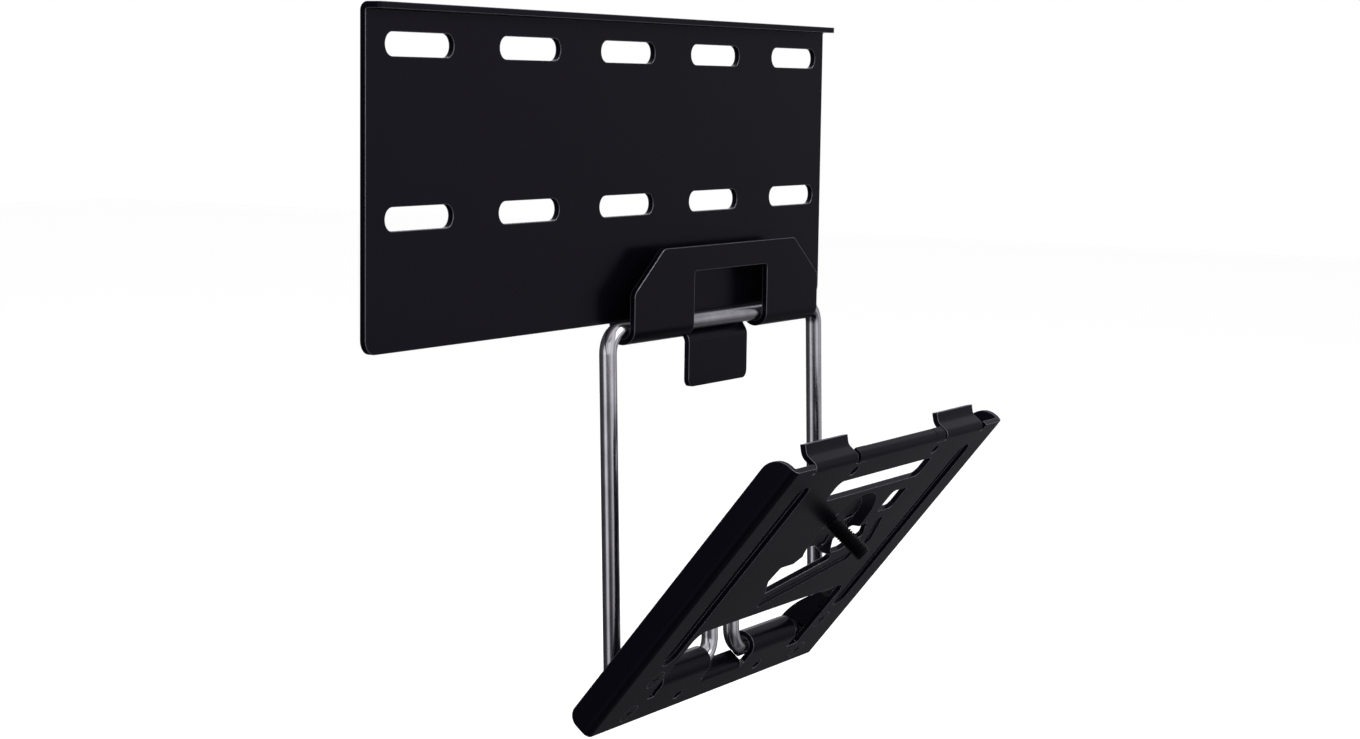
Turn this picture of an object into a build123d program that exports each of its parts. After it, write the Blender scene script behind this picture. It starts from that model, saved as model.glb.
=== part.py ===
from build123d import *
import math
import os

os.makedirs("parts", exist_ok=True)

# Fixed television bracket in its service position: a slotted wall plate with a folded hook, a bent
# wire link that hangs in the hook, and a pressed plate for the television that hinges on the link.
# Millimetres. The origin is in the middle of the slot pattern, on the wall plate's back.
# +X is to the right, +Y into the wall and +Z up.

# Stock
sheet = 2.0             # steel sheet of both plates
rod_d = 6.0             # drawn steel rod of the link
running = 0.1           # radial clearance of the rod in the hook, the rolls and the blocks
bend_in = 0.6           # inside radius of a plain fold

# Wall plate
slot_columns = 5
left_margin = 9.1       # sheet between the end slots and the plate's sides
right_margin = 6.0
slot_rows_apart = 51.5
slot_length = 34.0
slot_width = 7.25
wall_width = 281.1
wall_top = 37.75        # height of the top fold above the middle of the slots
wall_bottom = 65.4      # depth of the lower edge below the middle of the slots
wall_corner = 4.6
lip_reach = 5.2         # how far the top lip stands in front of the face
lip_corner = 1.0

# Hook on the wall plate
hook_drop = 2.3         # depth of the rod's centre below the plate's lower edge
hook_width = 130.0
hook_top = 26.9         # height of the flap above the rod's centre
hook_chamfer_x = 18.75
hook_chamfer_z = 14.4
hook_corner = 3.0
window_width = 52.0     # gap in the hook where the rod shows
window_top = 18.2       # height of the gap's upper edge above the rod's centre
window_corner = 1.5
tongue_width = 41.3
tongue_side = 1.5       # how far the tongue's middle is to the right of the hook's
tongue_drop = 23.8      # depth of the tongue's tip below the rod's centre
tongue_step = 2.3       # how far the tongue is joggled forward, under the rod
tongue_bend_top = 3.6   # depth of the joggle's two bends below the rod's centre
tongue_bend_low = 7.1
tongue_corner = 3.0

# Wire link
link_length = 122.5     # top bar to bottom bars, centre to centre
leg_spacing = 145.9
link_side = -1.0        # how far the link hangs to the right of the hook's middle
rod_bend = 7.5          # centreline radius of every bend
stub_spacing = 15.4
stub_height = 15.0      # height of a stub's end above the bottom bars
link_lean = 1.7         # degrees that the link hangs forward of plumb

# Television plate, in its own frame: x across, s up the face from the lower edge, h behind the face
tv_width = 161.3
tv_side = 1.0           # how far the plate's middle is to the right of the hook's
tv_height = 125.9
tv_lean = 38.7          # degrees that the plate leans forward of plumb
flange_depth = 10.4
flange_corner_low = 4.5
flange_corner_top = 7.5
bar_s = 16.5            # height of the rod's centre on the plate
strip_half = 27.3       # half width of the turned-back strip between the tabs
strip_depth = 4.3
tab_in = 35.0           # inner and outer ends of the two hook tabs, from the middle
tab_out = 64.8
tab_flat = 6.4          # depth of a tab's flat part, where it turns up
tab_tip_h = 8.9
tab_tip_s = 2.3         # height of a tab's tip above the top edge
tab_bend = 3.0
relief = 3.0            # depth of the notches beside each tab
relief_width = 1.6      # width of the notch at a tab's outer end

# Rolls round the rod and the window that their metal comes from
roll_gap_stub = 0.4     # from a stub's bend to the roll
roll_gap_block = 6.9    # from the roll to the block
roll_turn = 290.0       # degrees that the sheet is rolled round the rod
sill_gap = 1.0          # gap at each end of the turned-back sill between the rolls
sill_depth = 7.0
opening_side = 6.15     # from the window's side to the middle of the screws
opening_low = 11.9
opening_to_hub = 39.6   # sheet from the window's upper edge to the middle of the hub
opening_corner = 5.0

# Pressed beads. The two small ones are given by their ends' x and height from the hub
bead_wall = 1.2         # how much a bead narrows on each side from face to floor
side_bead_x = 62.4
side_bead_low = 31.0
side_bead_drop = 9.3    # distance of the bead's upper end below the top edge
side_bead_width = 9.0
side_bead_depth = 1.4
long_bead = ((-18.0, -32.5), (31.0, -20.2))
long_bead_width = 5.5
short_bead = ((33.4, -2.5), (39.0, -13.5))
short_bead_width = 5.0
small_bead_depth = 0.9

# Openings and holes in the face
top_slot_width = 72.0
top_slot_height = 9.3
top_slot_drop = 11.6    # distance of the slot below the top edge
top_slot_corner = 3.0
side_hole_x = 29.65
side_hole_up = 9.45     # height of its middle above the hub
side_hole_width = 11.7
side_hole_height = 10.5
side_hole_corner = 2.0
hole_d = 4.2
top_hole_x = 31.5
top_hole_drop = 6.9
low_hole_x = 28.5
low_hole_s = 6.8

# Dished hub that carries the stud
hub_drop = 41.4         # distance of its middle below the top edge
dish_depth = 2.9
dish_mouth_r = 18.0
dish_floor_r = 13.5
dish_skirt = 0.7        # extra radius of the dish's back, which keeps its wall thick
spoke_angles = (12.0, 127.0, 180.0, 297.0)
spoke_in = 6.5
spoke_out = 13.0
spoke_width = 2.3
stud_d = 6.0
stud_reach = 13.0       # how far the stud stands in front of the face
stud_neck_d = 5.0       # undercut where the thread ends at the dish
stud_neck = 1.2
stud_chamfer = 0.8
stud_head_d = 11.0
stud_head = 2.5
fit_gap = 0.05          # radial clearance of the stud and the screws in their holes

# Blocks that hold the rod against the plate, each with two countersunk screws
block_width = 10.5
block_end_gap = 0.05    # from the right block to the leg's bend
block_low = 0.8
block_high = 35.2
block_back = 11.1
block_knee_s = 23.0     # where the block's back turns down towards its upper end
block_end_h = 5.2       # depth of the block's back at the upper end
block_round = 34.0
block_edge = 1.2
screw_side = 3.0        # from the screws' middle to the block's outer side
screw_low_s = 6.4
screw_high_s = 23.4
screw_d = 4.0
screw_head_d = 8.0
screw_length = 9.0
hole_extra = 0.3        # how much deeper a block's hole is than its screw
recess_width = 1.1
recess_length = 4.2
recess_depth = 0.8

# Outlines of the two openings beside the hub: x and height from the hub
left_opening = ((-28.5, -20.0), (-22.5, -27.4), (14.5, -17.9), (12.0, -15.3), (5.5, -14.3),
                (-2.0, -10.5), (-14.5, -10.5), (-18.0, -13.5), (-27.0, -13.5))
right_opening = ((10.4, -14.0), (17.4, -13.9), (29.0, -8.7), (23.0, -1.1), (15.5, -2.5), (10.4, -9.5))
opening_round = 1.0

# Sizes that follow from the ones above
slot_pitch = (wall_width - slot_length - left_margin - right_margin) / (slot_columns - 1)
wall_left = (left_margin + slot_length / 2) + slot_pitch * (slot_columns - 1) / 2
wall_right = wall_width - wall_left
hook_x = slot_pitch     # the hook is under the fourth column of slots
hub_s = tv_height - hub_drop
opening_top = hub_s - opening_to_hub
side_bead_high = tv_height - side_bead_drop
rod_r = rod_d / 2
bore_r = rod_r + running
wrap_r = bore_r + sheet
bend_out = bend_in + sheet
hook_axis_y = -(sheet + bore_r)
hook_axis_z = -(wall_bottom + hook_drop)
flap_front = hook_axis_y - wrap_r
lean = math.radians(tv_lean)
swing = math.radians(link_lean)
bar_y = hook_axis_y - link_length * math.sin(swing)
bar_z = hook_axis_z - link_length * math.cos(swing)
plate_y = bar_y + bar_s * math.sin(lean) - wrap_r * math.cos(lean)
plate_z = bar_z - bar_s * math.cos(lean) - wrap_r * math.sin(lean)
plate_place = Pos(hook_x + tv_side, plate_y, plate_z) * Rot(tv_lean, 0, 0)
link_place = Pos(hook_x + link_side, hook_axis_y, hook_axis_z) * Rot(-link_lean, 0, 0)
roll_side = link_side - tv_side
block_out = leg_spacing / 2 - rod_bend + roll_side - block_end_gap
block_in = block_out - block_width
screw_x = block_out - screw_side
opening_half = screw_x - opening_side
roll_in = stub_spacing / 2 + rod_bend + roll_gap_stub
roll_out = block_in - roll_side - roll_gap_block
back = 20.0             # reach of the tools that cut right through a plate


def folded(line, x_from, x_to, side):
    """Sheet along an outer line drawn in Y and Z, with its thickness on one side of the line."""
    band = make_face(offset(line, amount=sheet, side=side).edges())
    across = Plane(origin=(x_from, 0, 0), x_dir=(0, 1, 0), z_dir=(1, 0, 0))
    return extrude(across * band, amount=x_to - x_from, dir=(1, 0, 0))


def curled(axis_y, axis_z, first, turn, x_from, x_to):
    """Sheet curled round a rod: a band from the first angle on, bored to the running fit."""
    outer = CenterArc((axis_y, axis_z), wrap_r, first, turn)
    inner = CenterArc((axis_y, axis_z), bore_r, first, turn)
    band = make_face([outer, inner, Line(outer @ 0, inner @ 0), Line(outer @ 1, inner @ 1)])
    across = Plane(origin=(x_from, 0, 0), x_dir=(0, 1, 0), z_dir=(1, 0, 0))
    return extrude(across * band, amount=x_to - x_from, dir=(1, 0, 0))


def facing(sketch, y_from, y_to, taper=0.0):
    """Sketch drawn in X and Z, made solid from y_from back to y_to."""
    front = Plane(origin=(0, y_from, 0), x_dir=(1, 0, 0), z_dir=(0, -1, 0))
    return extrude(front * sketch, amount=y_from - y_to, taper=taper)


def wall_sheet():
    """Slotted plate with its top lip."""
    outer = FilletPolyline((0, -wall_bottom), (0, wall_top), (-sheet - lip_reach, wall_top),
                           radius=bend_out)
    body = folded(outer, -wall_left, wall_right, Side.LEFT)
    body = fillet(body.edges().filter_by(Axis.Y).group_by(Axis.Z)[0], wall_corner)
    return fillet(body.edges().filter_by(Axis.Z).group_by(Axis.Y)[0], lip_corner)


def hook_flap():
    """Two curls under the rod and the flap in front of it, with the window cut out."""
    half = hook_width / 2
    gap = window_width / 2
    root = hook_drop + wall_corner
    leg = Pos(0, hook_axis_z + root / 2) * Rectangle(half - gap, root)
    middle = (half + gap) / 2
    body = facing(Pos(hook_x - middle, 0) * leg, -sheet, 0)
    body += facing(Pos(hook_x + middle, 0) * leg, -sheet, 0)
    body += curled(hook_axis_y, hook_axis_z, 0, -180, hook_x - half, hook_x - gap)
    body += curled(hook_axis_y, hook_axis_z, 0, -180, hook_x + gap, hook_x + half)
    shoulder = half - hook_chamfer_x
    knee = hook_top - hook_chamfer_z
    flap = make_face(Polyline((-half, 0), (half, 0), (half, knee), (shoulder, hook_top),
                              (-shoulder, hook_top), (-half, knee), close=True))
    flap = fillet(flap.vertices().filter_by(lambda v: v.Y > 1), hook_corner)
    window = Rectangle(window_width, 2 * window_top)
    flap -= fillet(window.vertices(), window_corner)
    return body + facing(Pos(hook_x, hook_axis_z) * flap, flap_front, flap_front + sheet)


def tongue():
    """Tab that hangs behind the rod and is joggled forward under it."""
    tip = hook_axis_z - tongue_drop
    line = FilletPolyline((-tongue_step, tip), (-tongue_step, hook_axis_z - tongue_bend_low),
                          (0, hook_axis_z - tongue_bend_top), (0, -wall_bottom + wall_corner),
                          radius=bend_out)
    middle = hook_x + tongue_side
    body = folded(line, middle - tongue_width / 2, middle + tongue_width / 2, Side.LEFT)
    return fillet(body.edges().filter_by(Axis.Y).group_by(Axis.Z)[0], tongue_corner)


def make_wall_plate():
    """Plate, lip, hook and tongue as one folded sheet, with the wall slots."""
    body = wall_sheet() + hook_flap() + tongue()
    places = GridLocations(slot_pitch, slot_rows_apart, slot_columns, 2)
    slots = Sketch() + places * SlotOverall(slot_length, slot_width)
    return body - facing(slots, -sheet - 1, 1)


def make_wire_link():
    """One rod bent into a loop, whose two ends turn up in the middle of the bottom."""
    leg = leg_spacing / 2
    stub = stub_spacing / 2
    tip = -link_length + stub_height
    line = FilletPolyline((-stub, 0, tip), (-stub, 0, -link_length), (-leg, 0, -link_length), (-leg, 0, 0),
                          (leg, 0, 0), (leg, 0, -link_length), (stub, 0, -link_length), (stub, 0, tip),
                          radius=rod_bend)
    pieces = [rod_along(edge) for edge in line.edges()]
    return link_place * pieces[0].fuse(*pieces[1:])


def rod_along(edge):
    """Rod along a straight run or round a bend."""
    section = Plane(origin=edge @ 0, z_dir=edge % 0) * Circle(rod_r)
    if edge.geom_type == GeomType.LINE:
        return extrude(section, amount=edge.length, dir=edge % 0)
    return revolve(section, axis=Axis(edge.arc_center, (edge % 0).cross(edge % 1)), revolution_arc=90)


def between(ends, width):
    """Outline of a bead with round ends from one point to another."""
    (x0, s0), (x1, s1) = ends
    length = math.hypot(x1 - x0, s1 - s0) + width
    angle = math.degrees(math.atan2(s1 - s0, x1 - x0))
    return Pos((x0 + x1) / 2, (s0 + s1) / 2) * Rot(0, 0, angle) * SlotOverall(length, width)


def press(body, outline, depth):
    """Bead pressed back into the face: a bulge behind the sheet and the same form cut in front."""
    slope = math.degrees(math.atan2(bead_wall, depth))
    body += facing(outline, sheet, sheet + depth, taper=slope)
    return body - facing(outline, 0, depth, taper=slope)


def cone_back(r_front, r_back, h_from, depth):
    """Cone on the hub's axis, from one depth behind the face to another."""
    place = Pos(0, h_from, hub_s) * Rot(-90, 0, 0)
    return place * Cone(r_front, r_back, depth, align=(Align.CENTER, Align.CENTER, Align.MIN))


def peg(x, s, radius, h_from, h_to):
    """Cylinder square to the face."""
    place = Pos(x, h_from, s) * Rot(-90, 0, 0)
    return place * Cylinder(radius, h_to - h_from, align=(Align.CENTER, Align.CENTER, Align.MIN))


def tray():
    """Face with its two side flanges, their corners rounded."""
    half = tv_width / 2
    line = FilletPolyline((-half, flange_depth), (-half, 0), (half, 0), (half, flange_depth),
                          radius=bend_out)
    band = make_face(offset(line, amount=sheet, side=Side.LEFT).edges())
    body = extrude(band, amount=tv_height, dir=(0, 0, 1))
    rear = body.edges().filter_by(Axis.X).group_by(Axis.Y)[-1]
    body = fillet(rear.group_by(Axis.Z)[0], flange_corner_low)
    rear = body.edges().filter_by(Axis.X).group_by(Axis.Y)[-1]
    return fillet(rear.group_by(Axis.Z)[-1], flange_corner_top)


def top_edge(body):
    """Turned-back strip and the two hook tabs along the top, with notches between them."""
    start = tv_height - relief
    cut = Pos(0, tv_height) * Rectangle(2 * (tab_out + relief_width), 2 * relief)
    body -= facing(cut, -1, sheet + 1)
    strip = FilletPolyline((0, start - 1), (0, tv_height), (strip_depth, tv_height), radius=bend_out)
    body += folded(strip, -strip_half, strip_half, Side.RIGHT)
    fold = FilletPolyline((0, start - 1), (0, tv_height), (bend_out + 0.2, tv_height), radius=bend_out)
    rise = FilletPolyline((bend_out + 0.1, tv_height), (tab_flat, tv_height),
                          (tab_tip_h, tv_height + tab_tip_s), radius=tab_bend)
    for side in (-1, 1):
        inner, outer = sorted((side * tab_in, side * tab_out))
        body += folded(fold, inner, outer, Side.RIGHT)
        body += folded(rise, inner, outer, Side.RIGHT)
    return body


def rolls(body):
    """Lower window, the two rolls of sheet that turn round the rod, and the sill between them."""
    height = opening_top - opening_low
    window = Pos(0, opening_low + height / 2) * Rectangle(2 * opening_half, height)
    window = fillet(window.vertices().group_by(Axis.Y)[-1], opening_corner)
    body -= facing(window, -1, sheet + 1)
    rise = bar_s - opening_low + 1
    root = Pos(0, bar_s - rise / 2) * Rectangle(roll_out - roll_in, rise)
    for side in (-1, 1):
        inner, outer = sorted((roll_side + side * roll_in, roll_side + side * roll_out))
        body += facing(Pos((inner + outer) / 2, 0) * root, 0, sheet)
        body += curled(wrap_r, bar_s, 180, -roll_turn, inner, outer)
    sill = FilletPolyline((0, opening_low - bend_out - 1), (0, opening_low), (sill_depth, opening_low),
                          radius=bend_out)
    half = roll_in - sill_gap
    gap = Pos(roll_side, opening_low) * Rectangle(2 * half, 2 * bend_out)
    body -= facing(gap, -1, sheet + 1)
    return body + folded(sill, roll_side - half, roll_side + half, Side.RIGHT)


def hub(body):
    """Round dish for the stud, with four narrow slots and the two openings below it."""
    body += cone_back(dish_mouth_r + dish_skirt, dish_floor_r + dish_skirt, sheet, dish_depth)
    body -= cone_back(dish_mouth_r, dish_floor_r, 0, dish_depth)
    middle = (spoke_in + spoke_out) / 2
    for angle in spoke_angles:
        spoke = Rot(0, 0, angle) * Pos(middle, 0) * SlotOverall(spoke_out - spoke_in, spoke_width)
        body -= facing(Pos(0, hub_s) * spoke, 0, back)
    for corners in (left_opening, right_opening):
        opening = make_face(Polyline(*corners, close=True))
        body -= facing(Pos(0, hub_s) * fillet(opening.vertices(), opening_round), -1, back)
    return body - peg(0, hub_s, stud_d / 2 + fit_gap, 0, back)


def screw_places():
    """Middle of each countersunk screw: x and s."""
    return [(side * screw_x, s) for side in (-1, 1) for s in (screw_low_s, screw_high_s)]


def countersink(x, s, extra, depth):
    """Countersunk head and shank, from the face back."""
    head = screw_head_d / 2 + extra
    shank = screw_d / 2 + extra
    place = Pos(x, 0, s) * Rot(-90, 0, 0)
    cone = place * Cone(head, shank, head - shank, align=(Align.CENTER, Align.CENTER, Align.MIN))
    return cone + peg(x, s, shank, 0, depth)


def make_tv_plate():
    """Pressed plate with side flanges, hook tabs, rolls, beads, openings and the dished hub."""
    body = rolls(top_edge(tray()))
    for side in (-1, 1):
        x = side * side_bead_x
        half = side_bead_width / 2
        ends = ((x, side_bead_low + half), (x, side_bead_high - half))
        body = press(body, between(ends, side_bead_width), side_bead_depth)
    for ends, width in ((long_bead, long_bead_width), (short_bead, short_bead_width)):
        body = press(body, Pos(0, hub_s) * between(ends, width), small_bead_depth)
    slot = Rectangle(top_slot_width, top_slot_height)
    slot_s = tv_height - top_slot_drop - top_slot_height / 2
    slot = Pos(0, slot_s) * fillet(slot.vertices(), top_slot_corner)
    square = Rectangle(side_hole_width, side_hole_height)
    square = Pos(side_hole_x, hub_s + side_hole_up) * fillet(square.vertices(), side_hole_corner)
    for cut in (slot, square):
        body -= facing(cut, -1, sheet + 1)
    for side in (-1, 1):
        body -= peg(side * top_hole_x, tv_height - top_hole_drop, hole_d / 2, -1, sheet + 1)
        body -= peg(side * low_hole_x, low_hole_s, hole_d / 2, -1, sheet + 1)
    for x, s in screw_places():
        body -= countersink(x, s, fit_gap, sheet + 1)
    return hub(body)


def make_rod_block(side):
    """Block behind the plate that traps the rod, its back rounded towards the upper end."""
    outline = make_face(Polyline((sheet, block_low), (block_back, block_low), (block_back, block_knee_s),
                                 (block_end_h, block_high), (sheet, block_high), close=True))
    knee = outline.vertices().filter_by(lambda v: abs(v.Y - block_knee_s) < 0.1)
    outline = fillet(knee, block_round)
    rear = outline.vertices().filter_by(lambda v: v.X > sheet + 1)
    outline = fillet(rear.group_by(Axis.Y)[0] + rear.group_by(Axis.Y)[-1], block_edge)
    channel = Pos((sheet + wrap_r) / 2 - 1, bar_s) * Rectangle(wrap_r - sheet + 2, 2 * bore_r)
    outline -= channel
    outline -= Pos(wrap_r, bar_s) * Circle(bore_r)
    inner, outer = sorted((side * block_in, side * block_out))
    across = Plane(origin=(inner, 0, 0), x_dir=(0, 1, 0), z_dir=(1, 0, 0))
    block = extrude(across * outline, amount=outer - inner, dir=(1, 0, 0))
    half = side_bead_width / 2 + fit_gap
    ends = ((side * side_bead_x, side_bead_low + half), (side * side_bead_x, side_bead_high))
    block -= facing(between(ends, 2 * half), sheet, sheet + side_bead_depth + fit_gap)
    for s in (screw_low_s, screw_high_s):
        block -= peg(side * screw_x, s, screw_d / 2 + fit_gap, 0, screw_length + hole_extra)
    return block


def make_screw(x, s):
    """Countersunk screw with a crossed recess, its head flush with the face."""
    screw = countersink(x, s, 0, screw_length)
    for length, width in ((recess_length, recess_width), (recess_width, recess_length)):
        screw -= facing(Pos(x, s) * Rectangle(length, width), -1, recess_depth)
    return screw


def make_stud():
    """Threaded stud with an undercut at the dish and a round head behind it."""
    seat = dish_depth + sheet
    free = peg(0, hub_s, stud_d / 2, -stud_reach, dish_depth - stud_neck)
    tip = free.edges().filter_by(GeomType.CIRCLE).group_by(Axis.Y)[0]
    stud = chamfer(tip, stud_chamfer)
    stud += peg(0, hub_s, stud_neck_d / 2, -1, seat)
    stud += peg(0, hub_s, stud_d / 2, dish_depth, seat + 1)
    return stud + peg(0, hub_s, stud_head_d / 2, seat, seat + stud_head)


# Every sub-part in its place, one file each
nodes = {
    "wall_plate": make_wall_plate(),
    "wire_link": make_wire_link(),
    "tv_plate": plate_place * make_tv_plate(),
    "rod_block_left": plate_place * make_rod_block(-1),
    "rod_block_right": plate_place * make_rod_block(1),
    "tv_stud": plate_place * make_stud(),
}
for number, (x, s) in enumerate(screw_places(), start=1):
    nodes[f"block_screw_{number}"] = plate_place * make_screw(x, s)

for name, shape in nodes.items():
    export_step(shape, f"parts/{name}.step")
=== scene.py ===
"""Looks of the flat television bracket: finishes, drawn rod, threaded stud, studio and camera.

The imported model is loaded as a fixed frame. Its folded plates, blocks and screws keep their own
meshes and get finishes; the rod and the stud are made again as smooth surfaces with their own grain
and thread, and two folded strips carry the top edge on beside the tabs. Lengths are in metres.
"""

import logging
import math
from dataclasses import dataclass, field
from enum import Enum
from typing import Any

import bmesh
import bpy
import numpy as np
from mathutils import Matrix, Vector


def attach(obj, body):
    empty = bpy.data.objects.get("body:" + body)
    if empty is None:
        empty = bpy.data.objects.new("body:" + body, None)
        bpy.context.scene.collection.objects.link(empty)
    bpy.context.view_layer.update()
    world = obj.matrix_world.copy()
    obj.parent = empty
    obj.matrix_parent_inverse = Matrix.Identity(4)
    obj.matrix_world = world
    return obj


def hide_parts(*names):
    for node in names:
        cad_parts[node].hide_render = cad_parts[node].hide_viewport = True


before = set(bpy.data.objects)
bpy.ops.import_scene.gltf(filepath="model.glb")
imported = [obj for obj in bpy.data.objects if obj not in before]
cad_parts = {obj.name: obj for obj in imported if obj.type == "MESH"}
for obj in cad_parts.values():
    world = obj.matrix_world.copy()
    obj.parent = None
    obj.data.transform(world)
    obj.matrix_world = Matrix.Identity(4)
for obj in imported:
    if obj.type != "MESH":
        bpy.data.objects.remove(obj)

MM = 0.001
LOG = logging.getLogger("bracket")


class Slot(Enum):
    """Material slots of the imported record."""

    COAT = "black_coat"
    ROD = "bright_steel"
    BLOCK = "black_plastic"
    FASTENER = "black_steel"


class Body(Enum):
    """Moving bodies of the bracket."""

    WALL = "wall"
    LINK = "link"
    TV = "tv"


def linear(hex_colour: str) -> tuple[float, float, float, float]:
    """Turn an sRGB hex colour into linear light.

    Args:
        hex_colour: Six hex digits with a leading #.

    Returns:
        Linear red, green, blue and an alpha of one.
    """
    digits = hex_colour.lstrip("#")
    parts = [int(digits[i:i + 2], 16) / 255 for i in (0, 2, 4)]
    light = [c / 12.92 if c <= 0.04045 else ((c + 0.055) / 1.055) ** 2.4 for c in parts]
    return light[0], light[1], light[2], 1.0


def add_node(tree: bpy.types.NodeTree, kind: str, inputs: dict[Any, Any] | None = None,
             **settings: Any) -> bpy.types.Node:
    """Add a node with its settings and its inputs.

    Args:
        tree: Node tree that gets the node.
        kind: Blender's name of the node type.
        inputs: Socket name or number, with a value or an output socket to link.
        settings: Properties of the node.

    Returns:
        The new node.
    """
    node = tree.nodes.new(kind)
    for name, value in settings.items():
        setattr(node, name, value)
    for name, value in (inputs or {}).items():
        if isinstance(value, bpy.types.NodeSocket):
            tree.links.new(value, node.inputs[name])
        else:
            node.inputs[name].default_value = value
    return node


def new_material(name: str) -> bpy.types.Material:
    """Make an empty node material.

    Args:
        name: Name of the finish.

    Returns:
        The material, with no nodes in it.
    """
    material = bpy.data.materials.new(name)
    material.use_nodes = True
    material.node_tree.nodes.clear()
    return material


def object_noise(tree: bpy.types.NodeTree, size_m: float, detail: float = 3.0,
                 stretch: tuple[float, float, float] = (1.0, 1.0, 1.0)) -> bpy.types.Node:
    """Noise on object coordinates whose blobs have a real size.

    Args:
        tree: Node tree that gets the nodes.
        size_m: Width of a blob in metres.
        detail: Octaves of finer noise.
        stretch: Factor on each axis, below one for blobs drawn out along it.

    Returns:
        The noise node.
    """
    place = add_node(tree, "ShaderNodeTexCoord")
    drawn = add_node(tree, "ShaderNodeMapping", {"Vector": place.outputs["Object"], "Scale": stretch})
    return add_node(tree, "ShaderNodeTexNoise",
                    {"Vector": drawn.outputs["Vector"], "Scale": 1 / size_m, "Detail": detail})


def spread(tree: bpy.types.NodeTree, value: bpy.types.NodeSocket, low: float, high: float,
           from_low: float = 0.3, from_high: float = 0.7) -> bpy.types.NodeSocket:
    """Map a value to a new range, clamped.

    Args:
        tree: Node tree that gets the node.
        value: Socket to map.
        low: Result at the low end.
        high: Result at the high end.
        from_low: Value that gives the low end.
        from_high: Value that gives the high end.

    Returns:
        The result's socket.
    """
    node = add_node(tree, "ShaderNodeMapRange",
                    {"Value": value, "From Min": from_low, "From Max": from_high,
                     "To Min": low, "To Max": high})
    return node.outputs["Result"]


def edge_amount(tree: bpy.types.NodeTree, radius_m: float, gain: float) -> tuple[bpy.types.Node, Any]:
    """How near a point is to a cut edge: one minus the dot of the rounded and the plain normal.

    Args:
        tree: Node tree that gets the nodes.
        radius_m: Radius of the rounded edge.
        gain: Factor on the result.

    Returns:
        The rounding node and the socket with the amount from 0 to 1.
    """
    rounded = add_node(tree, "ShaderNodeBevel", {"Radius": radius_m}, samples=6)
    plain = add_node(tree, "ShaderNodeNewGeometry")
    same = add_node(tree, "ShaderNodeVectorMath",
                    {0: rounded.outputs["Normal"], 1: plain.outputs["Normal"]}, operation="DOT_PRODUCT")
    return rounded, spread(tree, same.outputs["Value"], gain, 0.0, 0.7, 1.0)


def finish_shader(tree: bpy.types.NodeTree, inputs: dict[str, Any]) -> None:
    """Close a material with its surface shader.

    Args:
        tree: Node tree that gets the nodes.
        inputs: The shader's sockets.
    """
    shader = add_node(tree, "ShaderNodeBsdfPrincipled", inputs)
    add_node(tree, "ShaderNodeOutputMaterial", {"Surface": shader.outputs["BSDF"]})


@dataclass(frozen=True)
class PowderCoat:
    """Satin black powder coat on pressed sheet steel.

    A smooth black film with a faint orange peel. It mirrors its surroundings softly, and it draws
    thin at the cut edges, where the steel below glints as a fine line towards the lamps.
    """

    name: str = "powder_coat_black"
    colour: str = "#07060c"
    steel: str = "#b4b4bc"
    roughness: float = 0.24
    peel_m: float = 1.6 * MM
    cloud_m: float = 35 * MM
    edge_m: float = 0.45 * MM

    def material(self) -> bpy.types.Material:
        """Build the coat's material."""
        made = new_material(self.name)
        tree = made.node_tree
        rounded, edge = edge_amount(tree, self.edge_m, 1.0)
        colour = add_node(tree, "ShaderNodeMix", {"Factor": edge, "A": linear(self.colour),
                                                  "B": linear(self.steel)}, data_type="RGBA")
        cloud = object_noise(tree, self.cloud_m, 4.0)
        rough = spread(tree, cloud.outputs["Fac"], self.roughness - 0.02, self.roughness + 0.04)
        peel = object_noise(tree, self.peel_m, 2.0)
        bump = add_node(tree, "ShaderNodeBump",
                        {"Strength": 0.04, "Distance": 0.006 * MM, "Height": peel.outputs["Fac"],
                         "Normal": rounded.outputs["Normal"]})
        finish_shader(tree, {"Base Color": colour.outputs["Result"], "Metallic": edge,
                             "Roughness": rough, "IOR": 1.5, "Specular IOR Level": 0.12,
                             "Specular Tint": (0.7, 0.6, 1.0, 1.0), "Normal": bump.outputs["Normal"]})
        return made


@dataclass(frozen=True)
class ZincRod:
    """Bright zinc-plated drawn steel rod.

    A metal with soft, slightly streaked reflections: the die leaves fine lines along the rod.
    """

    name: str = "zinc_plated_rod"
    colour: str = "#e4e3e5"
    dull: str = "#cfced1"
    roughness: float = 0.17
    streaks_round: float = 26.0
    streak_m: float = 30 * MM

    def material(self) -> bpy.types.Material:
        """Build the rod's material from its own map: along the rod in metres, round it from 0 to 1."""
        made = new_material(self.name)
        tree = made.node_tree
        along = add_node(tree, "ShaderNodeUVMap", uv_map="run")
        drawn = add_node(tree, "ShaderNodeMapping",
                         {"Vector": along.outputs["UV"],
                          "Scale": (1 / self.streak_m, self.streaks_round, 1.0)})
        streak = add_node(tree, "ShaderNodeTexNoise",
                          {"Vector": drawn.outputs["Vector"], "Scale": 1.0, "Detail": 3.0})
        cloud = object_noise(tree, 9 * MM, 3.0)
        colour = add_node(tree, "ShaderNodeMix",
                          {"Factor": spread(tree, cloud.outputs["Fac"], 0.0, 1.0),
                           "A": linear(self.colour), "B": linear(self.dull)}, data_type="RGBA")
        rough = spread(tree, streak.outputs["Fac"], self.roughness - 0.05, self.roughness + 0.08)
        bump = add_node(tree, "ShaderNodeBump",
                        {"Strength": 0.10, "Distance": 0.02 * MM, "Height": streak.outputs["Fac"]})
        finish_shader(tree, {"Base Color": colour.outputs["Result"], "Metallic": 1.0,
                             "Roughness": rough, "Normal": bump.outputs["Normal"]})
        return made


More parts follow.
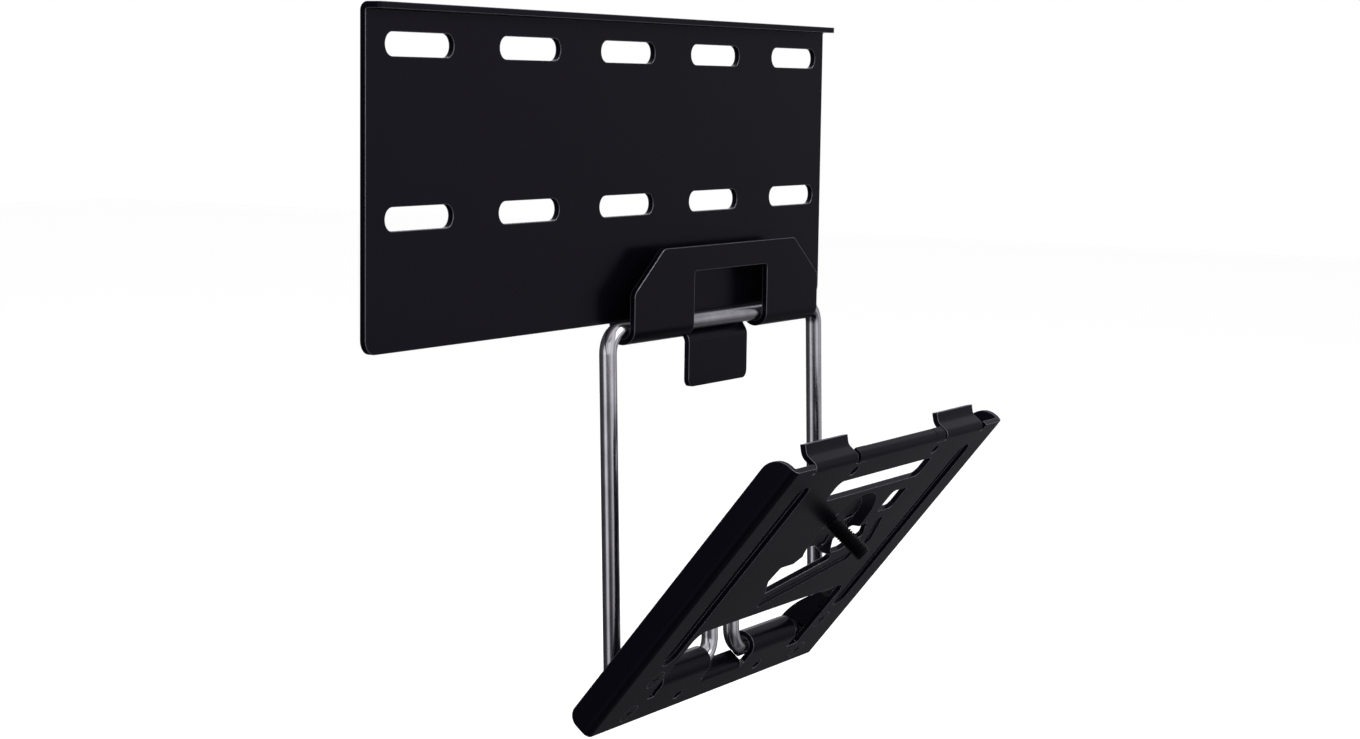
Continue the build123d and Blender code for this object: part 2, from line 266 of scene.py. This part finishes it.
@dataclass(frozen=True)
class MouldedNylon:
    """Matt black moulded nylon of the rod blocks, with a fine spark-eroded grain."""

    name: str = "moulded_nylon_black"
    colour: str = "#08070f"
    roughness: float = 0.5
    grain_m: float = 0.5 * MM

    def material(self) -> bpy.types.Material:
        """Build the nylon's material."""
        made = new_material(self.name)
        tree = made.node_tree
        grain = object_noise(tree, self.grain_m, 2.0)
        rounded = add_node(tree, "ShaderNodeBevel", {"Radius": 0.5 * MM}, samples=6)
        bump = add_node(tree, "ShaderNodeBump",
                        {"Strength": 0.25, "Distance": 0.03 * MM, "Height": grain.outputs["Fac"],
                         "Normal": rounded.outputs["Normal"]})
        rough = spread(tree, grain.outputs["Fac"], self.roughness - 0.05, self.roughness + 0.05)
        finish_shader(tree, {"Base Color": linear(self.colour), "Roughness": rough, "IOR": 1.5,
                             "Specular IOR Level": 0.1, "Normal": bump.outputs["Normal"]})
        return made


@dataclass(frozen=True)
class BlackOxide:
    """Black oxide on steel fasteners: a thin dark film that leaves the steel's soft shine."""

    name: str = "black_oxide_steel"
    colour: str = "#0b0b11"
    # Lighter grey mixed in at every cut edge: partly worn steel, partly a painted edge highlight.
    wear_and_highlight: str = "#6e6e78"
    roughness: float = 0.33
    mottle_m: float = 2.5 * MM

    def material(self) -> bpy.types.Material:
        """Build the fasteners' material."""
        made = new_material(self.name)
        tree = made.node_tree
        rounded, edge = edge_amount(tree, 0.3 * MM, 0.8)
        # The base colour turns to the lighter grey on the rims: worn steel and a painted highlight on
        # every edge.
        colour = add_node(tree, "ShaderNodeMix", {"Factor": edge, "A": linear(self.colour),
                                                  "B": linear(self.wear_and_highlight)}, data_type="RGBA")
        mottle = object_noise(tree, self.mottle_m, 4.0)
        rough = spread(tree, mottle.outputs["Fac"], self.roughness - 0.04, self.roughness + 0.07)
        finish_shader(tree, {"Base Color": colour.outputs["Result"], "Metallic": 0.3, "Roughness": rough,
                             "Specular IOR Level": 0.2, "Normal": rounded.outputs["Normal"]})
        return made


def surface_mesh(name: str, points: np.ndarray, uv: np.ndarray) -> bpy.types.Mesh:
    """Mesh of a round surface worked out on a grid, with both ends closed to a point.

    Grid point (i, j) joins its neighbours along i and round j, and the last j joins the first.

    Args:
        name: Name of the mesh.
        points: Grid of points, first along and then round, of shape (along, round, 3).
        uv: Along and round values of the same grid, of shape (along, round + 1, 2).

    Returns:
        The mesh, with outward faces.
    """
    rows, columns = points.shape[:2]
    ends = np.stack([points[0].mean(axis=0), points[-1].mean(axis=0)])
    vertices = np.concatenate([points.reshape(-1, 3), ends])
    i, j = np.meshgrid(np.arange(rows - 1), np.arange(columns), indexing="ij")
    k = (j + 1) % columns
    here, ahead = i * columns, (i + 1) * columns
    quads = np.stack([here + j, here + k, ahead + k, ahead + j], axis=-1)
    j0 = np.arange(columns)
    k0 = (j0 + 1) % columns
    first = np.stack([np.full(columns, rows * columns), k0, j0], axis=-1)
    last_row = (rows - 1) * columns
    last = np.stack([np.full(columns, rows * columns + 1), last_row + j0, last_row + k0], axis=-1)
    mesh = bpy.data.meshes.new(name)
    faces = quads.reshape(-1, 4).tolist() + first.tolist() + last.tolist()
    mesh.from_pydata(vertices.tolist(), [], faces)
    mesh.shade_smooth()
    layer = mesh.uv_layers.new(name="run")
    side = np.stack([uv[i, j], uv[i, j + 1], uv[i + 1, j + 1], uv[i + 1, j]], axis=-2).reshape(-1, 2)
    cap = np.zeros((2 * columns * 3, 2))
    cap[columns * 3:, 0] = uv[-1, 0, 0]
    layer.uv.foreach_set("vector", np.concatenate([side, cap]).astype(np.float32).ravel())
    mesh.validate()
    return mesh


def add_object(mesh: bpy.types.Mesh, material: bpy.types.Material, body: Body,
               stands_for: str = "") -> bpy.types.Object:
    """Put a finished mesh into the scene, by itself or in a CAD node's place.

    Args:
        mesh: Mesh with its place in its vertices.
        material: Finish of the piece.
        body: Body that the piece moves with.
        stands_for: CAD node that the piece replaces, or nothing.

    Returns:
        The new object.
    """
    piece = bpy.data.objects.new(mesh.name, mesh)
    bpy.context.scene.collection.objects.link(piece)
    mesh.materials.append(material)
    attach(piece, body.value)
    if stands_for:
        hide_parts(stands_for)
    LOG.info("piece %s: %d faces", piece.name, len(mesh.polygons))
    return piece


def dress(node: str, material: bpy.types.Material) -> None:
    """Give a CAD node a finish in every material slot.

    Args:
        node: Name of the CAD node.
        material: Finish of the node.
    """
    mesh_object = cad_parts[node]
    mesh_object.data.materials.clear()
    mesh_object.data.materials.append(material)
    LOG.info("node %s: %s", node, material.name)


def turned(points: np.ndarray, degrees: float) -> np.ndarray:
    """Turn points about X.

    Args:
        points: Points of any shape ending in 3.
        degrees: Angle by the right-hand rule.

    Returns:
        The turned points.
    """
    c, s = math.cos(math.radians(degrees)), math.sin(math.radians(degrees))
    return points @ np.array([[1, 0, 0], [0, c, -s], [0, s, c]]).T


@dataclass
class WallPlate:
    """Slotted wall plate with its hook and tongue."""

    coat: bpy.types.Material

    def build(self) -> None:
        """Dress the folded sheet."""
        dress("wall_plate", self.coat)


@dataclass
class WireLink:
    """Bent rod that hangs in the hook."""

    metal: bpy.types.Material
    top: tuple[float, float, float] = (57 * MM, -5.1 * MM, -67.7 * MM)
    lean_deg: float = 1.7
    length: float = 122.5 * MM
    leg_spacing: float = 145.9 * MM
    stub_spacing: float = 15.4 * MM
    stub_height: float = 15 * MM
    bend: float = 7.5 * MM
    radius: float = 3 * MM
    end_round: float = 0.6 * MM
    sides: int = 40
    arc_steps: int = 14

    def path(self) -> np.ndarray:
        """Centreline of the rod in its own X and Z plane.

        Straight runs joined by quarter circles: each corner is replaced by points at the bend's
        radius round a centre set in from both runs.

        Returns:
            Points of shape (count, 3).
        """
        leg, stub, low = self.leg_spacing / 2, self.stub_spacing / 2, -self.length
        corners = np.array([(-stub, low + self.stub_height), (-stub, low), (-leg, low), (-leg, 0.0),
                            (leg, 0.0), (leg, low), (stub, low), (stub, low + self.stub_height)])
        runs = np.diff(corners, axis=0)
        ways = runs / np.linalg.norm(runs, axis=1, keepdims=True)
        points = [corners[:1]]
        turn = np.linspace(0, math.pi / 2, self.arc_steps)[:, None]
        for corner, before, after in zip(corners[1:-1], ways[:-1], ways[1:]):
            centre = corner - before * self.bend + after * self.bend
            points.append(centre - after * self.bend * np.cos(turn) + before * self.bend * np.sin(turn))
        points.append(corners[-1:])
        flat = np.concatenate(points)
        return np.stack([flat[:, 0], np.zeros(len(flat)), flat[:, 1]], axis=1)

    def build(self) -> None:
        """Carry a circle along the centreline and round off both ends.

        Each end's last stations step back along the rod by r(1 - cos a) while the circle grows by
        r sin a, for a from 0 to 90 degrees.
        """
        line = self.path()
        a = np.linspace(0, math.pi / 2, 5)
        back, less = self.end_round * (1 - np.cos(a)), self.end_round * (1 - np.sin(a))
        first_way = (line[1] - line[0]) / np.linalg.norm(line[1] - line[0])
        last_way = (line[-1] - line[-2]) / np.linalg.norm(line[-1] - line[-2])
        centre = np.concatenate([line[0] + back[:, None] * first_way, line[1:-1],
                                 line[-1] - back[::-1, None] * last_way])
        reach = np.concatenate([self.radius - less, np.full(len(line) - 2, self.radius),
                                self.radius - less[::-1]])
        points, uv = carried(centre, reach[:, None], np.array([0.0, 1.0, 0.0]), self.sides)
        points = turned(points, -self.lean_deg) + np.array(self.top)
        add_object(surface_mesh("wire_link_drawn", points, uv), self.metal, Body.LINK,
                   "wire_link")


def carried(centre: np.ndarray, reach: np.ndarray, across: np.ndarray,
            sides: int) -> tuple[np.ndarray, np.ndarray]:
    """Carry a circle along a line that lies in one plane.

    Point(i, j) = centre(i) + reach(i, j) (cos b n(i) + sin b across), where n is square to the
    line's way and to across, and b runs once round.

    Args:
        centre: Points of the line, of shape (count, 3).
        reach: Radius at each point and angle, of shape (count, 1) or (count, sides).
        across: Unit vector square to the line's plane.
        sides: Points round the circle.

    Returns:
        The grid of points, and for each its way along in metres and round from 0 to 1.
    """
    steps = np.diff(centre, axis=0)
    lengths = np.linalg.norm(steps, axis=1)
    ways = steps / lengths[:, None]
    way = np.concatenate([ways[:1], ways[:-1] + ways[1:], ways[-1:]])
    way /= np.linalg.norm(way, axis=1, keepdims=True)
    normal = np.cross(across, way)
    b = np.linspace(0, 2 * math.pi, sides, endpoint=False)
    ring = np.cos(b)[None, :, None] * normal[:, None, :] + np.sin(b)[None, :, None] * across
    points = centre[:, None, :] + reach[:, :, None] * ring
    run = np.concatenate([[0.0], np.cumsum(lengths)])
    uv = np.stack(np.meshgrid(run, np.linspace(0, 1, sides + 1), indexing="ij"), axis=-1)
    return points, uv


@dataclass
class TvPlate:
    """Pressed television plate with its rod blocks, screws and threaded stud.

    Places on it are across, up the face from the lower edge and behind the face.
    """

    coat: bpy.types.Material
    bend_coat: bpy.types.Material
    nylon: bpy.types.Material
    oxide: bpy.types.Material
    stud_oxide: bpy.types.Material
    bar: tuple[float, float, float] = (59 * MM, -8.7341 * MM, -190.1461 * MM)
    bar_up: float = 16.5 * MM
    bar_behind: float = 5.1 * MM
    lean_deg: float = 38.7
    stud_up: float = 84.5 * MM
    stud_tip: float = -13 * MM
    thread_end: float = 1.7 * MM
    dish_floor: float = 2.9 * MM
    stud_seat: float = 4.9 * MM
    neck_radius: float = 2.5 * MM
    stud_radius: float = 3 * MM
    head_radius: float = 5.5 * MM
    head_height: float = 2.5 * MM
    tip_chamfer: float = 0.8 * MM
    pitch: float = 1 * MM
    thread_depth: float = 0.6 * MM
    height: float = 126 * MM
    sheet: float = 2 * MM
    strip_bend: float = 2.6 * MM
    strip_depth: float = 4.3 * MM
    strip_foot: float = 122.9 * MM
    strip_from: float = 26.8 * MM
    strip_to: float = 33.4 * MM
    proud: float = 0.02 * MM
    sides: int = 48
    steps_a_turn: int = 16

    def placed(self, points: np.ndarray) -> np.ndarray:
        """Bring points from the plate's own frame into the bracket's.

        Args:
            points: Across, behind and up values, of any shape ending in 3.

        Returns:
            The same points in the bracket's frame.
        """
        own = points - np.array([0.0, self.bar_behind, self.bar_up])
        return turned(own, self.lean_deg) + np.array(self.bar)

    def stud(self) -> None:
        """Threaded stud with its head, made again with a real thread.

        The radius is the shaft's less depth times w, where w is 0 on the crest and 1 in the root
        and depends on the turn: the height in pitches plus the angle in turns, folded about its
        middle, with flats of an eighth at the crest and a quarter at the root.
        """
        seat, tip = self.stud_seat, self.stud_tip
        rim = 0.4 * MM
        back = seat + self.head_height
        head = np.array([(back, 0.5 * MM), (back, self.head_radius - rim),
                         (back - rim, self.head_radius), (seat, self.head_radius),
                         (seat, self.stud_radius), (self.dish_floor, self.stud_radius),
                         (self.dish_floor, self.neck_radius), (self.thread_end, self.neck_radius)])
        count = round((self.thread_end - tip) / self.pitch * self.steps_a_turn)
        height = np.linspace(self.thread_end, tip, count)
        outer = np.minimum(self.stud_radius, self.stud_radius - self.tip_chamfer + (height - tip))
        b = np.linspace(0, 1, self.sides, endpoint=False)
        fold = np.abs(2 * np.mod(height[:, None] / self.pitch + b[None, :], 1) - 1)
        depth = np.clip((fold - 0.125) / 0.625, 0, 1) * self.thread_depth
        start = self.neck_radius + 0.6 * (self.thread_end - height)
        thread = np.minimum(np.minimum(outer, start)[:, None], self.stud_radius - depth)
        reach = np.concatenate([np.repeat(head[:, 1:], self.sides, axis=1), thread])
        level = np.concatenate([head[:, 0], height])
        centre = np.stack([np.zeros_like(level), level, np.full_like(level, self.stud_up)], axis=1)
        points, uv = carried_straight(centre, reach, self.sides)
        add_object(surface_mesh("tv_stud_threaded", self.placed(points), uv), self.stud_oxide, Body.TV,
                   "tv_stud")

    def top_strips(self) -> None:
        """Folded strips that carry the turned-back top edge on towards the two hook tabs.

        The profile runs up the face, round the bend's outer quarter circle and back along the top,
        then forward under it, round the inner quarter circle and down the sheet's back. It is
        carried straight across.
        """
        top, turn = self.height + self.proud, np.linspace(0, math.pi / 2, 10)
        outer, inner = self.strip_bend + self.proud, self.strip_bend - self.sheet - self.proud
        hub_behind, hub_up = outer - self.proud, top - outer
        low, back = self.strip_foot, self.strip_depth
        arc_out = np.stack([hub_behind - outer * np.cos(turn), hub_up + outer * np.sin(turn)], axis=1)
        arc_in = np.stack([hub_behind - inner * np.cos(turn), hub_up + inner * np.sin(turn)], axis=1)
        profile = np.concatenate([[(arc_out[0, 0], low)], arc_out, [(back, top), (back, hub_up + inner)],
                                  arc_in[::-1], [(arc_in[0, 0], low)]])
        for side, name in ((-1, "left"), (1, "right")):
            across = side * np.array([self.strip_from, self.strip_to])
            grid = np.empty((2, len(profile), 3))
            grid[:, :, 0] = across[:, None]
            grid[:, :, 1:] = profile[None, ::side, :]
            mesh = strip_mesh(f"top_strip_{name}", self.placed(grid))
            add_object(mesh, self.bend_coat, Body.TV)

    def build(self) -> None:
        """Dress the pressed plate, its blocks and screws, and make the strips and the stud."""
        dress("tv_plate", self.coat)
        for side in ("left", "right"):
            dress(f"rod_block_{side}", self.nylon)
        for number in range(1, 5):
            dress(f"block_screw_{number}", self.oxide)
        self.top_strips()
        self.stud()


def strip_mesh(name: str, grid: np.ndarray) -> bpy.types.Mesh:
    """Mesh of a closed profile carried between two ends, with flat ends.

    Args:
        name: Name of the mesh.
        grid: Points of both ends' profiles, of shape (2, count, 3).

    Returns:
        The mesh, with outward faces and smooth bends.
    """
    count = grid.shape[1]
    j = np.arange(count)
    k = (j + 1) % count
    sides = np.stack([j, k, count + k, count + j], axis=-1).tolist()
    mesh = bpy.data.meshes.new(name)
    mesh.from_pydata(grid.reshape(-1, 3).tolist(), [], sides + [j[::-1].tolist(), (count + j).tolist()])
    form = bmesh.new()
    form.from_mesh(mesh)
    bmesh.ops.recalc_face_normals(form, faces=form.faces)
    form.to_mesh(mesh)
    form.free()
    return mesh


def carried_straight(centre: np.ndarray, reach: np.ndarray, sides: int) -> tuple[np.ndarray, np.ndarray]:
    """Turn a profile round an axis that runs towards the plate's front.

    Point(i, j) = centre(i) + reach(i, j) (cos b across + sin b up).

    Args:
        centre: Points of the axis from back to front, of shape (count, 3).
        reach: Radius at each point and angle, of shape (count, sides).
        sides: Points round the circle.

    Returns:
        The grid of points, and for each its way along in metres and round from 0 to 1.
    """
    b = np.linspace(0, 2 * math.pi, sides, endpoint=False)
    ring = np.stack([np.cos(b), np.zeros(sides), np.sin(b)], axis=1)
    points = centre[:, None, :] + reach[:, :, None] * ring[None, :, :]
    run = centre[0, 1] - centre[:, 1]
    uv = np.stack(np.meshgrid(run, np.linspace(0, 1, sides + 1), indexing="ij"), axis=-1)
    return points, uv


@dataclass(frozen=True)
class AreaLamp:
    """A soft rectangular lamp aimed at a point."""

    name: str
    place: tuple[float, float, float]
    power: float
    size: tuple[float, float]
    aim: tuple[float, float, float] = (0.04, -0.03, -0.09)

    def build(self) -> None:
        """Hang the lamp."""
        data = bpy.data.lights.new(self.name, "AREA")
        data.shape = "RECTANGLE"
        data.size, data.size_y = self.size
        data.energy = self.power
        lamp = bpy.data.objects.new(self.name, data)
        bpy.context.scene.collection.objects.link(lamp)
        lamp.location = self.place
        lamp.rotation_euler = (Vector(self.aim) - Vector(self.place)).to_track_quat("-Z", "Y").to_euler()


@dataclass
class Studio:
    """Plain white studio: world, floor, lamps and camera."""

    floor_level: float = -0.42
    floor_half: float = 6.0
    ambient: float = 0.62
    # Gloss: brightness below the horizon, of the softbox overhead, and the heights (sine of the
    # elevation) over which each comes in.
    below: float = 0.2
    below_span: tuple[float, float] = (-0.5, 0.05)
    overhead: float = 0.6
    overhead_span: tuple[float, float] = (0.55, 0.85)
    # Way to the white backdrop, and the cosines of the angles where it ends and where it is full.
    backdrop: tuple[float, float, float] = (0.851, 0.513, -0.112)
    backdrop_span: tuple[float, float] = (0.96, 0.985)
    lift: float = 0.42
    lens_mm: float = 66.32
    camera_at: tuple[float, float, float] = (-0.71917, -0.45762, 0.01454)
    camera_right: tuple[float, float, float] = (0.5177, -0.8554, 0.0148)
    camera_up: tuple[float, float, float] = (0.0884, 0.0707, 0.9936)
    # Compass angle from +X towards +Y, and brightness: dark flags beside the bracket, a tall softbox
    # on the left, a wider one in front and a paler band on the right.
    levels: tuple[tuple[float, float], ...] = (
        (8, 0.52), (30, 0.15), (55, 0.08), (97, 0.05), (116, 0.06), (133, 0.08), (147, 0.1),
        (153, 0.7), (160, 1.0), (180, 1.0), (187, 0.4), (196, 0.1), (210, 0.06), (222, 0.08),
        (234, 0.25), (244, 0.6), (256, 0.8), (268, 0.8), (280, 0.6), (292, 0.35), (304, 0.33),
        (313, 0.65), (320, 1.0), (325, 0.4), (333, 0.3), (345, 0.28), (352, 0.55))
    lamps: list[AreaLamp] = field(default_factory=lambda: [
        AreaLamp("key", (0.9, -1.3, 0.9), 9.0, (0.9, 0.9)),
        AreaLamp("fill", (-1.2, -1.0, 0.5), 3.0, (1.2, 1.2)),
        AreaLamp("rim", (1.2, 0.9, 0.8), 5.0, (0.8, 1.2)),
    ])

    def world(self) -> None:
        """Set up the background and the ambient light.

        The camera and rays through glass see white, diffuse light has a plain level, and glossy rays
        see the studio round the bracket.
        """
        world = bpy.data.worlds.new("studio")
        bpy.context.scene.world = world
        world.use_nodes = True
        tree = world.node_tree
        tree.nodes.clear()
        rays = add_node(tree, "ShaderNodeLightPath")
        seen = add_node(tree, "ShaderNodeMath",
                        {0: rays.outputs["Is Camera Ray"], 1: rays.outputs["Is Transmission Ray"]},
                        operation="MAXIMUM")
        level = spread(tree, seen.outputs["Value"], self.ambient, 1.0, 0.0, 1.0)
        plain = add_node(tree, "ShaderNodeBackground", {"Color": (1, 1, 1, 1), "Strength": level})
        around = add_node(tree, "ShaderNodeBackground",
                          {"Color": (0.94, 0.92, 1.0, 1.0), "Strength": self.surround(tree)})
        light = add_node(tree, "ShaderNodeMixShader",
                         {0: rays.outputs["Is Glossy Ray"], 1: plain.outputs["Background"],
                          2: around.outputs["Background"]})
        add_node(tree, "ShaderNodeOutputWorld", {"Surface": light.outputs["Shader"]})

    def surround(self, tree: bpy.types.NodeTree) -> bpy.types.NodeSocket:
        """Brightness of the studio that glossy rays see.

        The level goes by compass angle and is dimmer below the horizon. The white backdrop behind
        the bracket and the softbox overhead cover it where they are brighter.

        Args:
            tree: The world's node tree.

        Returns:
            The socket with the brightness, where 1 is white.
        """
        way = add_node(tree, "ShaderNodeTexCoord")
        parts = add_node(tree, "ShaderNodeSeparateXYZ", {0: way.outputs["Generated"]})
        angle = add_node(tree, "ShaderNodeMath", {0: parts.outputs["Y"], 1: parts.outputs["X"]},
                         operation="ARCTAN2")
        turn = spread(tree, angle.outputs["Value"], 0.0, 1.0, -math.pi, math.pi)
        ramp = add_node(tree, "ShaderNodeValToRGB", {"Fac": turn})
        stops = sorted(((degrees + 180) % 360 / 360, level) for degrees, level in self.levels)
        stops = [(0.0, stops[0][1])] + stops
        while len(ramp.color_ramp.elements) < len(stops):
            ramp.color_ramp.elements.new(1.0)
        for element, (place, level) in zip(ramp.color_ramp.elements, stops):
            element.position = place
            element.color = (level, level, level, 1.0)
        low = spread(tree, parts.outputs["Z"], self.below, 1.0, *self.below_span)
        both = add_node(tree, "ShaderNodeMath", {0: ramp.outputs["Color"], 1: low}, operation="MULTIPLY")
        near = add_node(tree, "ShaderNodeVectorMath", {0: way.outputs["Generated"], 1: self.backdrop},
                        operation="DOT_PRODUCT")
        white = spread(tree, near.outputs["Value"], 0.0, 1.0, *self.backdrop_span)
        over = spread(tree, parts.outputs["Z"], 0.0, self.overhead, *self.overhead_span)
        lit = add_node(tree, "ShaderNodeMath", {0: white, 1: over}, operation="MAXIMUM")
        all_round = add_node(tree, "ShaderNodeMath", {0: both.outputs["Value"], 1: lit.outputs["Value"]},
                             operation="MAXIMUM")
        return all_round.outputs["Value"]

    def floor(self) -> None:
        """Pale floor that keeps the shadow and meets the background in white."""
        h = self.floor_half
        mesh = bpy.data.meshes.new("floor")
        mesh.from_pydata([(-h, -h, self.floor_level), (h, -h, self.floor_level),
                          (h, h, self.floor_level), (-h, h, self.floor_level)], [], [(0, 1, 2, 3)])
        floor = bpy.data.objects.new("floor", mesh)
        floor.visible_glossy = False
        bpy.context.scene.collection.objects.link(floor)
        made = new_material("painted_floor_white")
        tree = made.node_tree
        paint = add_node(tree, "ShaderNodeBsdfDiffuse", {"Color": linear("#f4f4f4"), "Roughness": 0.5})
        rays = add_node(tree, "ShaderNodeLightPath")
        seen = add_node(tree, "ShaderNodeMath", {0: rays.outputs["Is Camera Ray"],
                                                 1: rays.outputs["Is Glossy Ray"]}, operation="MAXIMUM")
        lift = spread(tree, seen.outputs["Value"], 0.0, self.lift, 0.0, 1.0)
        glow = add_node(tree, "ShaderNodeEmission", {"Color": (1, 1, 1, 1), "Strength": lift})
        both = add_node(tree, "ShaderNodeAddShader",
                        {0: paint.outputs["BSDF"], 1: glow.outputs["Emission"]})
        add_node(tree, "ShaderNodeOutputMaterial", {"Surface": both.outputs["Shader"]})
        mesh.materials.append(made)

    def camera(self) -> None:
        """Camera at the photograph's place, angle and lens."""
        data = bpy.data.cameras.new("camera")
        data.sensor_fit = "HORIZONTAL"
        data.sensor_width = 36.0
        data.lens = self.lens_mm
        data.clip_start, data.clip_end = 0.01, 100.0
        camera = bpy.data.objects.new("camera", data)
        bpy.context.scene.collection.objects.link(camera)
        right = Vector(self.camera_right).normalized()
        back = right.cross(Vector(self.camera_up)).normalized()
        up = back.cross(right)
        turn = Matrix((right, up, back)).transposed()
        camera.matrix_world = Matrix.Translation(Vector(self.camera_at)) @ turn.to_4x4()
        bpy.context.scene.camera = camera

    def build(self) -> None:
        """Set up the studio."""
        bpy.context.scene.view_settings.view_transform = "Standard"
        self.world()
        self.floor()
        for lamp in self.lamps:
            lamp.build()
        self.camera()
        LOG.info("studio: %d lamps", len(self.lamps))


def corners(box: tuple[Vector, Vector]) -> list[list[float]]:
    """Box corners as plain lists.

    Args:
        box: Lowest and highest corner.

    Returns:
        Both corners as lists of numbers.
    """
    return [[float(value) for value in corner] for corner in box]


def main() -> None:
    """Build the studio and dress the bracket."""
    logging.basicConfig(level=logging.INFO, format="%(name)s: %(message)s")
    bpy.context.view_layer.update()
    Studio().build()
    coat = PowderCoat().material()
    WallPlate(coat).build()
    WireLink(ZincRod().material()).build()
    bend_coat = PowderCoat(name="powder_coat_black_bend", edge_m=0.03 * MM).material()
    # The stud's edges get a dimmer grey: worn steel and a painted edge highlight, kept faint on the
    # thread.
    stud_oxide = BlackOxide(name="black_oxide_stud", colour="#050509", wear_and_highlight="#26262c").material()
    TvPlate(coat, bend_coat, MouldedNylon().material(), BlackOxide().material(), stud_oxide).build()
    bpy.context.view_layer.update()


if __name__ == "__main__":
    main()
